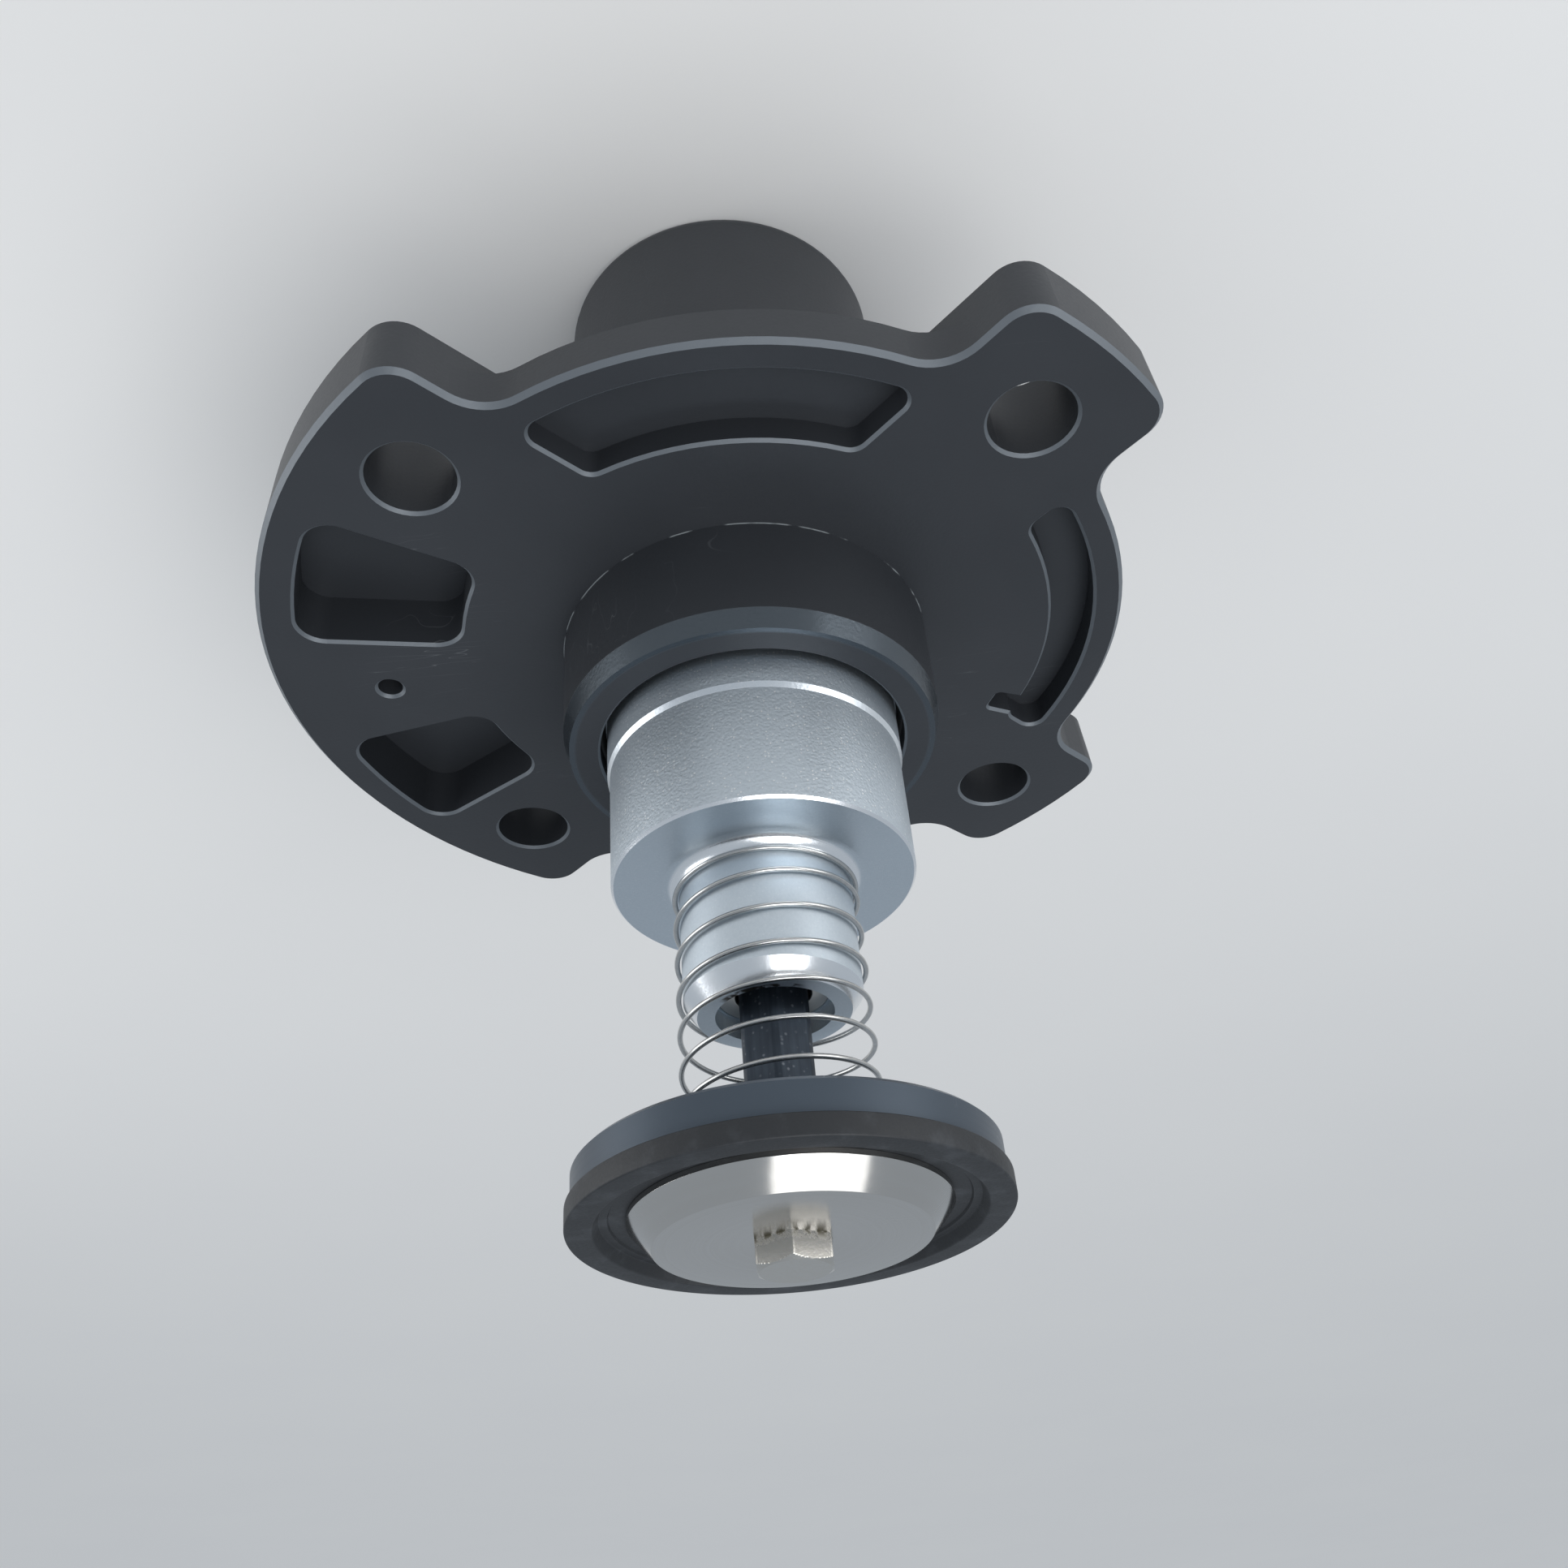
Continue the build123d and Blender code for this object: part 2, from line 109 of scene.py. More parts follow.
class ValveCastingSettings(bpy.types.PropertyGroup):
    """Looks of the cover casting."""
    colour: bpy.props.FloatVectorProperty(
        name="Casting Colour", description="Dark slate of the anodised casting",
        subtype="COLOR", size=4, min=0, max=1, default=(0.026, 0.029, 0.034, 1))
    # Painted highlight: a paler colour laid along the chamfers and rims where light would catch them
    chamfer_highlight_colour: bpy.props.FloatVectorProperty(
        name="Chamfer Highlight Colour", description="Paler colour along chamfers and rims",
        subtype="COLOR", size=4, min=0, max=1, default=(0.16, 0.18, 0.20, 1))
    roughness: bpy.props.FloatProperty(
        name="Casting Roughness", description="Roughness of the satin faces",
        min=0, max=1, default=0.46)


class ValvePistonSettings(bpy.types.PropertyGroup):
    """Looks of the piston."""
    colour: bpy.props.FloatVectorProperty(
        name="Piston Colour", description="Colour of the blasted aluminium",
        subtype="COLOR", size=4, min=0, max=1, default=(0.56, 0.63, 0.69, 1))
    bright_colour: bpy.props.FloatVectorProperty(
        name="Chamfer Colour", description="Colour of the bright turned chamfers",
        subtype="COLOR", size=4, min=0, max=1, default=(0.92, 0.94, 0.96, 1))
    roughness: bpy.props.FloatProperty(
        name="Blasted Roughness", description="Roughness of the blasted faces",
        min=0, max=1, default=0.42)


class ValveSpringSettings(bpy.types.PropertyGroup):
    """Form and looks of the two springs."""
    wire_radius: bpy.props.FloatProperty(
        name="Check Wire Radius", description="Half the check spring's wire diameter",
        unit="LENGTH", min=0.0001, default=0.4 * MM)
    main_wire_radius: bpy.props.FloatProperty(
        name="Main Wire Radius", description="Half the main spring's wire diameter",
        unit="LENGTH", min=0.0001, default=2.1 * MM)
    open_turns: bpy.props.IntProperty(
        name="Check Turns", description="Open turns of the check spring", min=1, default=7)
    main_open_turns: bpy.props.IntProperty(
        name="Main Turns", description="Open turns of the main spring", min=1, default=9)
    start_angle: bpy.props.FloatProperty(
        name="Start Angle", description="Where the check spring's wire ends, about the axis",
        subtype="ANGLE", default=math.radians(48))
    colour: bpy.props.FloatVectorProperty(
        name="Wire Colour", description="Colour of the bright drawn wire",
        subtype="COLOR", size=4, min=0, max=1, default=(0.62, 0.62, 0.61, 1))


class ValvePlateSettings(bpy.types.PropertyGroup):
    """Looks of the valve plate, its seal and retainer."""
    plate_colour: bpy.props.FloatVectorProperty(
        name="Plate Colour", description="Slate blue of the plate's side",
        subtype="COLOR", size=4, min=0, max=1, default=(0.050, 0.066, 0.086, 1))
    rubber_colour: bpy.props.FloatVectorProperty(
        name="Rubber Colour", description="Near black of the moulded seal",
        subtype="COLOR", size=4, min=0, max=1, default=(0.014, 0.016, 0.019, 1))
    steel_colour: bpy.props.FloatVectorProperty(
        name="Steel Colour", description="Colour of the turned stainless steel",
        subtype="COLOR", size=4, min=0, max=1, default=(0.60, 0.59, 0.57, 1))
    bead_width: bpy.props.FloatProperty(
        name="Bead Width", description="Width of the seal's raised bead",
        unit="LENGTH", min=0.001, default=3.6 * MM)
    hole_radius: bpy.props.FloatProperty(
        name="Hole Radius", description="Clearance hole for the bolt",
        unit="LENGTH", min=0.001, default=3.3 * MM)
    cone_width: bpy.props.FloatProperty(
        name="Cone Width", description="Width of the retainer's conical rim",
        unit="LENGTH", min=0, default=3.2 * MM)
    rim_height: bpy.props.FloatProperty(
        name="Rim Height", description="Height of the retainer's straight rim",
        unit="LENGTH", min=0, default=0.8 * MM)


class ValveStemSettings(bpy.types.PropertyGroup):
    """Form of the guide stem."""
    chamfer: bpy.props.FloatProperty(
        name="End Chamfer", description="Chamfer on the stem's corners at its end",
        unit="LENGTH", min=0, default=0.4 * MM)
    groove_radius: bpy.props.FloatProperty(
        name="Groove Radius", description="Radius of the retaining ring's groove",
        unit="LENGTH", min=0.001, default=4.8 * MM)
    spigot_radius: bpy.props.FloatProperty(
        name="Spigot Radius", description="Radius of the spigot inside the valve plate",
        unit="LENGTH", min=0.001, default=4.0 * MM)
    gap: bpy.props.FloatProperty(
        name="Groove Gap", description="Play of the ring in its groove, each side",
        unit="LENGTH", min=0, default=0.02 * MM)


class ValveBoltSettings(bpy.types.PropertyGroup):
    """Form of the hexagon bolt."""
    shank_radius: bpy.props.FloatProperty(
        name="Shank Radius", description="Half the shank's diameter",
        unit="LENGTH", min=0.001, default=2.95 * MM)
    point_chamfer: bpy.props.FloatProperty(
        name="Point Chamfer", description="Chamfer at the shank's end",
        unit="LENGTH", min=0, default=0.6 * MM)
    crown_height: bpy.props.FloatProperty(
        name="Crown Height", description="Height of the head's crowned edge",
        unit="LENGTH", min=0, default=0.6 * MM)
    crown_run: bpy.props.FloatProperty(
        name="Crown Run", description="How far the crowned edge runs in towards the axis",
        unit="LENGTH", min=0, default=1.1 * MM)


class ValveStageSettings(bpy.types.PropertyGroup):
    """Floor and lights."""
    floor_colour: bpy.props.FloatVectorProperty(
        name="Floor Colour", description="Pale floor",
        subtype="COLOR", size=4, min=0, max=1, default=(0.78, 0.77, 0.75, 1))
    floor_size: bpy.props.FloatProperty(
        name="Floor Size", description="Width of the floor", unit="LENGTH", default=6.0)
    sun_strength: bpy.props.FloatProperty(
        name="Sun Strength", description="Strength of the broad overhead light", min=0, default=0.9)
    key_watts: bpy.props.FloatProperty(
        name="Key Lamp", description="Power of the main soft lamp", unit="POWER", default=1.6)
    side_watts: bpy.props.FloatProperty(
        name="Side Lamps", description="Power of each side lamp", unit="POWER", default=0.9)
    world_strength: bpy.props.FloatProperty(
        name="World Strength", description="Strength of the even light all round", min=0, default=0.5)


# Meshes worked out as whole arrays

def mesh_object(name, points, faces, crease=math.radians(32)):
    """A mesh object from an array of points and a list of face arrays, sharp past a crease angle."""
    mesh = bpy.data.meshes.new(name)
    mesh.from_pydata(points.tolist(), [], [face for block in faces for face in block.tolist()])
    mesh.polygons.foreach_set("use_smooth", np.ones(len(mesh.polygons), bool))
    mesh.set_sharp_from_angle(angle=crease)
    mesh.update()
    piece = bpy.data.objects.new(name, mesh)
    bpy.context.scene.collection.objects.link(piece)
    return piece


def grid_faces(rows, columns, wrap_rows, wrap_columns):
    """Four-sided faces between neighbours of a grid whose ends may join up."""
    row = np.arange(rows if wrap_rows else rows - 1)
    column = np.arange(columns if wrap_columns else columns - 1)
    r, c = np.meshgrid(row, column, indexing="ij")
    r_next, c_next = (r + 1) % rows, (c + 1) % columns
    corners = [r * columns + c, r * columns + c_next, r_next * columns + c_next, r_next * columns + c]
    return np.stack(corners, axis=-1).reshape(-1, 4)


def tube_along(path, wire_radius, sides):
    """Round wire along a path, closed at both ends.

    At each path point P with tangent T, the ring is P + r (cos v N + sin v B), where N points
    away from the valve axis, made square to T, and B is T x N. Each end closes in a small dome.
    """
    tangent = np.gradient(path, axis=0)
    tangent /= np.linalg.norm(tangent, axis=1)[:, None]
    outward = path * (1, 1, 0)
    outward -= tangent * np.sum(outward * tangent, axis=1)[:, None]
    outward /= np.linalg.norm(outward, axis=1)[:, None]
    side = np.cross(tangent, outward)
    v = np.arange(sides) * FULL_TURN / sides
    ring = np.cos(v)[:, None] * outward[:, None, :] + np.sin(v)[:, None] * side[:, None, :]
    points = path[:, None, :] + wire_radius * ring
    columns = len(path)
    faces = grid_faces(columns, sides, False, True)
    flat = points.reshape(-1, 3)
    tips = np.stack([path[0], path[-1]])
    first = np.arange(sides)
    last = first + (columns - 1) * sides
    tip_index = len(flat)
    start_cap = np.stack([np.roll(first, -1), first, np.full(sides, tip_index)], axis=-1)
    end_cap = np.stack([last, np.roll(last, -1), np.full(sides, tip_index + 1)], axis=-1)
    return np.vstack([flat, tips]), [faces, start_cap, end_cap]


def turned(profile, segments):
    """Ring-shaped solid of a closed outline of (radius, height) points turned about the axis.

    The point (r, z) at angle a goes to (r cos a, r sin a, z); rows and columns both join up.
    """
    angle = np.arange(segments) * FULL_TURN / segments
    radius, height = profile[:, 0], profile[:, 1]
    x = radius[:, None] * np.cos(angle)
    y = radius[:, None] * np.sin(angle)
    z = np.broadcast_to(height[:, None], x.shape)
    points = np.stack([x, y, z], axis=-1).reshape(-1, 3)
    return points, [grid_faces(len(profile), segments, True, True)]


def rounded_outline(corners, roundings, steps=6):
    """Closed outline whose corners are swapped for arcs.

    Each arc is tangent to both its sides: its ends lie r / tan(half the inner angle) from the
    corner, and its points turn evenly about the centre on the inner bisector.
    """
    corners = np.array(corners, float)
    before = np.roll(corners, 1, axis=0) - corners
    after = np.roll(corners, -1, axis=0) - corners
    before /= np.linalg.norm(before, axis=1)[:, None]
    after /= np.linalg.norm(after, axis=1)[:, None]
    half = np.arccos(np.clip(np.sum(before * after, axis=1), -1, 1)) / 2
    radii = np.array(roundings, float)
    inward = (before + after) / np.linalg.norm(before + after, axis=1)[:, None]
    centre = corners + inward * (radii / np.sin(half))[:, None]
    start = corners + before * (radii / np.tan(half))[:, None] - centre
    finish = corners + after * (radii / np.tan(half))[:, None] - centre
    share = np.linspace(0, 1, steps)[None, :, None]
    sweep = (math.pi / 2 - half)[:, None, None] * 2
    weight_start = np.sin((1 - share) * sweep) / np.sin(sweep)
    weight_finish = np.sin(share * sweep) / np.sin(sweep)
    arcs = centre[:, None] + weight_start * start[:, None] + weight_finish * finish[:, None]
    return arcs.reshape(-1, 2)


def hexagon_bar(levels, apothem, segments=360):
    """Solid hexagon bar of stacked outlines, closed at both ends.

    levels holds (height, turned radius) pairs. Each ring follows the hexagon's wall h(a) but stays
    within its turned radius R, so its points are min(h(a), R) (cos a, sin a) at that height. The
    wall is h = apothem / cos(a'), with a' measured from the nearest flat's middle, and a corner
    points along Y.
    """
    angle = np.arange(segments) * FULL_TURN / segments
    sixth = FULL_TURN / 6
    from_flat = (angle + sixth / 2) % sixth - sixth / 2
    height, turned_radius = np.array(levels, float).T
    radius = np.minimum(apothem / np.cos(from_flat)[None, :], turned_radius[:, None])
    x, y = radius * np.cos(angle), radius * np.sin(angle)
    z = np.broadcast_to(height[:, None], x.shape)
    flat = np.stack([x, y, z], axis=-1).reshape(-1, 3)
    sides = grid_faces(len(levels), segments, False, True)
    foot, head = np.arange(segments), np.arange(segments) + (len(levels) - 1) * segments
    tips = np.array([[0, 0, height[0]], [0, 0, height[-1]]])
    foot_cap = np.stack([np.roll(foot, -1), foot, np.full(segments, len(flat))], axis=-1)
    head_cap = np.stack([head, np.roll(head, -1), np.full(segments, len(flat) + 1)], axis=-1)
    return np.vstack([flat, tips]), [sides, foot_cap, head_cap]


def even_levels(low, high, steps=8):
    """Evenly spaced (height, turned radius) pairs from one pair to another."""
    return np.linspace(low, high, steps).tolist()


def coil_path(radius, low, high, wire_radius, open_turns, start_angle, steps_per_turn=96):
    """Centre line of a compression spring: (R cos a, R sin a, h(a)).

    The height h climbs one wire a turn in the closed end turns and evenly between them, and a
    short blend either side of each change of pitch keeps the wire smooth.
    """
    turns = open_turns + 2
    count = turns * steps_per_turn + 1
    turn = np.linspace(0, turns, count)
    closed = 2 * wire_radius * 1.02
    run = high - low - 2 * wire_radius - 2 * closed
    climb = np.interp(turn, [0, 1, turns - 1, turns], [0, closed, closed + run, 2 * closed + run])
    blend = np.hanning(steps_per_turn // 3)
    blend /= blend.sum()
    margin = len(blend) // 2
    step = climb[1] - climb[0]
    lead = climb[0] - step * np.arange(margin, 0, -1)
    tail = climb[-1] + step * np.arange(1, margin + 1)
    smooth = np.convolve(np.concatenate([lead, climb, tail]), blend, mode="same")[margin:-margin]
    angle = start_angle + turn * FULL_TURN
    return np.stack([radius * np.cos(angle), radius * np.sin(angle), low + wire_radius + smooth], axis=-1)


# Shader node groups, each built once and given its values by the materials

def add_node(tree, kind, **values):
    """A node with its attributes set."""
    node = tree.nodes.new(kind)
    for name, value in values.items():
        setattr(node, name, value)
    return node


def set_inputs(node, **values):
    """Sets named input sockets; an underscore in a name stands for a space."""
    for name, value in values.items():
        node.inputs[name.replace("_", " ")].default_value = value


def maths(tree, operation, first, second=None, third=None, clamp=False):
    """A maths node whose operands are sockets or numbers; returns its output."""
    node = add_node(tree, "ShaderNodeMath", operation=operation, use_clamp=clamp)
    for socket, value in zip(node.inputs, (first, second, third)):
        if isinstance(value, bpy.types.NodeSocket):
            tree.links.new(value, socket)
        elif value is not None:
            socket.default_value = value
    return node.outputs[0]


def step_mask(tree, value, low, high):
    """Rises smoothly from 0 at low to 1 at high."""
    node = add_node(tree, "ShaderNodeMapRange", interpolation_type="SMOOTHSTEP")
    tree.links.new(value, node.inputs["Value"])
    set_inputs(node, From_Min=low, From_Max=high)
    return node.outputs["Result"]


def band_mask(tree, value, low, high, soft):
    """1 between low and high, falling to 0 over a soft margin outside them."""
    rising = step_mask(tree, value, low - soft, low)
    falling = step_mask(tree, value, high + soft, high)
    return maths(tree, "MULTIPLY", rising, falling)


def mix_colour(tree, factor, first, second):
    """Blends two colours, each a socket or a value; returns the output."""
    node = add_node(tree, "ShaderNodeMix", data_type="RGBA")
    for socket, value in ((node.inputs[0], factor), (node.inputs[6], first), (node.inputs[7], second)):
        if isinstance(value, bpy.types.NodeSocket):
            tree.links.new(value, socket)
        else:
            socket.default_value = value
    return node.outputs[2]


def place_parts(tree):
    """Object coordinates, the distance from the valve axis and the height."""
    place = add_node(tree, "ShaderNodeTexCoord").outputs["Object"]
    parts = add_node(tree, "ShaderNodeSeparateXYZ")
    tree.links.new(place, parts.inputs[0])
    x, y, z = parts.outputs
    squares = maths(tree, "ADD", maths(tree, "MULTIPLY", x, x), maths(tree, "MULTIPLY", y, y))
    return place, maths(tree, "SQRT", squares), z


def noise(tree, place, scale, detail=3.0, roughness=0.55):
    """Noise value at a place, at a scale in cycles per metre."""
    node = add_node(tree, "ShaderNodeTexNoise")
    tree.links.new(place, node.inputs["Vector"])
    set_inputs(node, Scale=scale, Detail=detail, Roughness=roughness)
    return node.outputs["Fac"]


def start_group(name, inputs, outputs):
    """An empty shader group with named sockets; returns it with its input and output nodes."""
    group = bpy.data.node_groups.new(name, "ShaderNodeTree")
    for label, kind, default in inputs:
        socket = group.interface.new_socket(label, in_out="INPUT", socket_type=kind)
        socket.default_value = default
    for label, kind in outputs:
        group.interface.new_socket(label, in_out="OUTPUT", socket_type=kind)
    entry = add_node(group, "NodeGroupInput")
    exit_node = add_node(group, "NodeGroupOutput")
    return group, entry, exit_node


def chamfer_light_group():
    """Mask that is 1 on faces that slope about halfway between level and upright."""
    group, entry, exit_node = start_group(
        "Chamfer Light", [("Breakup", "NodeSocketFloat", 0.3), ("Scale", "NodeSocketFloat", 400.0)],
        [("Mask", "NodeSocketFloat")])
    coordinates = add_node(group, "ShaderNodeTexCoord")
    parts = add_node(group, "ShaderNodeSeparateXYZ")
    group.links.new(coordinates.outputs["Normal"], parts.inputs[0])
    slope = maths(group, "MULTIPLY", parts.outputs["Z"], parts.outputs["Z"])
    sloping = maths(group, "MULTIPLY", slope, maths(group, "SUBTRACT", 1.0, slope))
    peak = maths(group, "MULTIPLY", sloping, 4.0)
    texture = add_node(group, "ShaderNodeTexNoise")
    group.links.new(coordinates.outputs["Object"], texture.inputs["Vector"])
    group.links.new(entry.outputs["Scale"], texture.inputs["Scale"])
    broken = maths(group, "MULTIPLY", texture.outputs["Fac"], entry.outputs["Breakup"])
    mask = maths(group, "SUBTRACT", peak, broken, clamp=True)
    group.links.new(step_mask(group, mask, 0.25, 0.8), exit_node.inputs["Mask"])
    return group


def blasted_grain_group():
    """Fine blasted or cast grain: a height for bump, a value for colour and scattered glints."""
    group, entry, exit_node = start_group(
        "Blasted Grain", [("Scale", "NodeSocketFloat", 2500.0)],
        [("Height", "NodeSocketFloat"), ("Value", "NodeSocketFloat"), ("Glints", "NodeSocketFloat")])
    coordinates = add_node(group, "ShaderNodeTexCoord")
    cells = add_node(group, "ShaderNodeTexVoronoi", feature="SMOOTH_F1")
    fine = add_node(group, "ShaderNodeTexNoise")
    set_inputs(fine, Detail=4.0, Roughness=0.7)
    for texture in (cells, fine):
        group.links.new(coordinates.outputs["Object"], texture.inputs["Vector"])
        group.links.new(entry.outputs["Scale"], texture.inputs["Scale"])
    both = maths(group, "ADD", cells.outputs["Distance"], fine.outputs["Fac"])
    group.links.new(both, exit_node.inputs["Height"])
    group.links.new(fine.outputs["Fac"], exit_node.inputs["Value"])
    chips = add_node(group, "ShaderNodeTexVoronoi", feature="F1")
    group.links.new(coordinates.outputs["Object"], chips.inputs["Vector"])
    group.links.new(entry.outputs["Scale"], chips.inputs["Scale"])
    channels = add_node(group, "ShaderNodeSeparateColor")
    group.links.new(chips.outputs["Color"], channels.inputs[0])
    chosen = step_mask(group, channels.outputs[0], 0.72, 0.95)
    small = step_mask(group, chips.outputs["Distance"], 0.45, 0.15)
    group.links.new(maths(group, "MULTIPLY", chosen, small), exit_node.inputs["Glints"])
    return group


def turning_marks_group():
    """Rings left by a lathe: a wave of the distance from the axis and the height, worn unevenly."""
    group, entry, exit_node = start_group(
        "Turning Marks", [("Pitch", "NodeSocketFloat", 0.0002), ("Unevenness", "NodeSocketFloat", 0.5)],
        [("Height", "NodeSocketFloat"), ("Value", "NodeSocketFloat")])
    place, radius, height = place_parts(group)
    along = maths(group, "ADD", radius, height)
    rings = maths(group, "DIVIDE", along, entry.outputs["Pitch"])
    wave = maths(group, "SINE", maths(group, "MULTIPLY", rings, FULL_TURN))
    spread = add_node(group, "ShaderNodeTexNoise", noise_dimensions="1D")
    group.links.new(maths(group, "MULTIPLY", rings, 0.37), spread.inputs["W"])
    set_inputs(spread, Scale=1.0, Detail=4.0, Roughness=0.75)
    uneven = maths(group, "MULTIPLY", spread.outputs["Fac"], entry.outputs["Unevenness"])
    group.links.new(maths(group, "MULTIPLY_ADD", wave, 0.25, uneven), exit_node.inputs["Height"])
    group.links.new(spread.outputs["Fac"], exit_node.inputs["Value"])
    return group


def handling_marks_group():
    """Thin pale scratches that cross a face, and soft rubbed patches."""
    group, entry, exit_node = start_group(
        "Handling Marks", [("Amount", "NodeSocketFloat", 0.5), ("Scale", "NodeSocketFloat", 30.0)],
        [("Scratches", "NodeSocketFloat"), ("Patches", "NodeSocketFloat")])
    place = add_node(group, "ShaderNodeTexCoord").outputs["Object"]
    turned_place = add_node(group, "ShaderNodeMapping")
    group.links.new(place, turned_place.inputs["Vector"])
    turned_place.inputs["Rotation"].default_value = (0.3, 0.2, 0.9)
    turned_place.inputs["Scale"].default_value = (1.0, 14.0, 3.0)
    streak = add_node(group, "ShaderNodeTexNoise")
    group.links.new(turned_place.outputs[0], streak.inputs["Vector"])
    group.links.new(entry.outputs["Scale"], streak.inputs["Scale"])
    set_inputs(streak, Detail=2.0)
    line = maths(group, "ABSOLUTE", maths(group, "SUBTRACT", streak.outputs["Fac"], 0.5))
    thin = step_mask(group, line, 0.006, 0.0)
    patch = add_node(group, "ShaderNodeTexNoise")
    group.links.new(place, patch.inputs["Vector"])
    group.links.new(entry.outputs["Scale"], patch.inputs["Scale"])
    set_inputs(patch, Detail=3.0)
    worn = step_mask(group, patch.outputs["Fac"], 0.56, 0.70)
    scratch = maths(group, "MULTIPLY", maths(group, "MULTIPLY", thin, worn), entry.outputs["Amount"])
    group.links.new(scratch, exit_node.inputs["Scratches"])
    group.links.new(patch.outputs["Fac"], exit_node.inputs["Patches"])
    return group


def use_group(tree, group, **values):
    """Places a group in a material with its own values."""
    node = add_node(tree, "ShaderNodeGroup", node_tree=group)
    set_inputs(node, **values)
    return node


def effect(name, build):
    """A shared group by name, built the first time it is asked for."""
    return bpy.data.node_groups.get(name) or build()


def new_material(name):
    """A material with an empty tree and its Principled BSDF joined to the output."""
    material = bpy.data.materials.new(name)
    material.use_nodes = True
    tree = material.node_tree
    tree.nodes.clear()
    shader = add_node(tree, "ShaderNodeBsdfPrincipled")
    output = add_node(tree, "ShaderNodeOutputMaterial")
    tree.links.new(shader.outputs[0], output.inputs["Surface"])
    return material, tree, shader


def add_bump(tree, shader, height, distance, strength=1.0):
    """Bump from a height value, measured in metres."""
    bump = add_node(tree, "ShaderNodeBump")
    set_inputs(bump, Distance=distance, Strength=strength)
    tree.links.new(height, bump.inputs["Height"])
    tree.links.new(bump.outputs[0], shader.inputs["Normal"])


# Finishes

def angle_mask(tree, middle, half_width, soft):
    """1 within an angle about the valve axis either side of a middle angle, in radians."""
    place = add_node(tree, "ShaderNodeTexCoord").outputs["Object"]
    parts = add_node(tree, "ShaderNodeSeparateXYZ")
    tree.links.new(place, parts.inputs[0])
    angle = maths(tree, "ARCTAN2", parts.outputs[1], parts.outputs[0])
    away = maths(tree, "ABSOLUTE", maths(tree, "SUBTRACT", angle, middle))
    return step_mask(tree, away, half_width + soft, half_width)


def casting_finish(settings):
    """Dark anodised casting: satin faces, a painted highlight along the chamfers, a shiny turned lead-in on the
    boss.
    """
    material, tree, shader = new_material("cast_cover")
    place, radius, height = place_parts(tree)
    grain = use_group(tree, effect("Blasted Grain", blasted_grain_group), Scale=1800.0)
    marks = use_group(tree, effect("Handling Marks", handling_marks_group), Amount=0.35, Scale=28.0)
    light = use_group(tree, effect("Chamfer Light", chamfer_light_group), Breakup=0.35, Scale=260.0)
    boss = radius_of("piston")
    lead_in = band_mask(tree, height, 17.7 * MM, 21.5 * MM, 0.1 * MM)
    outside = step_mask(tree, radius, boss + 4.0 * MM, boss + 4.6 * MM)
    shiny = maths(tree, "MULTIPLY", lead_in, outside)
    patchy = mix_colour(tree, marks.outputs["Patches"], settings.colour, (0.046, 0.050, 0.057, 1))
    # Painted highlight: faces that slope like chamfers are mixed towards a paler colour
    edge = maths(tree, "MULTIPLY", light.outputs["Mask"], 0.75)
    edged = mix_colour(tree, edge, patchy, settings.chamfer_highlight_colour)
    scratched = mix_colour(tree, marks.outputs["Scratches"], edged, (0.22, 0.23, 0.24, 1))
    broken = step_mask(tree, noise(tree, place, 170.0), 0.44, 0.56)
    root = maths(tree, "MULTIPLY", band_mask(tree, radius, boss + 6.05 * MM, boss + 6.32 * MM, 0.08 * MM),
                 band_mask(tree, height, -0.3 * MM, 0.1 * MM, 0.05 * MM))
    rooted = mix_colour(tree, maths(tree, "MULTIPLY", root, broken), scratched, (0.26, 0.28, 0.29, 1))
    turned_light = mix_colour(tree, shiny, rooted, (0.075, 0.090, 0.105, 1))
    tree.links.new(turned_light, shader.inputs["Base Color"])
    rough = maths(tree, "MULTIPLY_ADD", grain.outputs["Value"], 0.12, settings.roughness - 0.06)
    tree.links.new(maths(tree, "MULTIPLY_ADD", shiny, -0.24, rough), shader.inputs["Roughness"])
    tree.links.new(maths(tree, "MULTIPLY_ADD", shiny, 0.45, 0.30), shader.inputs["Metallic"])
    add_bump(tree, shader, grain.outputs["Height"], 0.012 * MM)
    return material


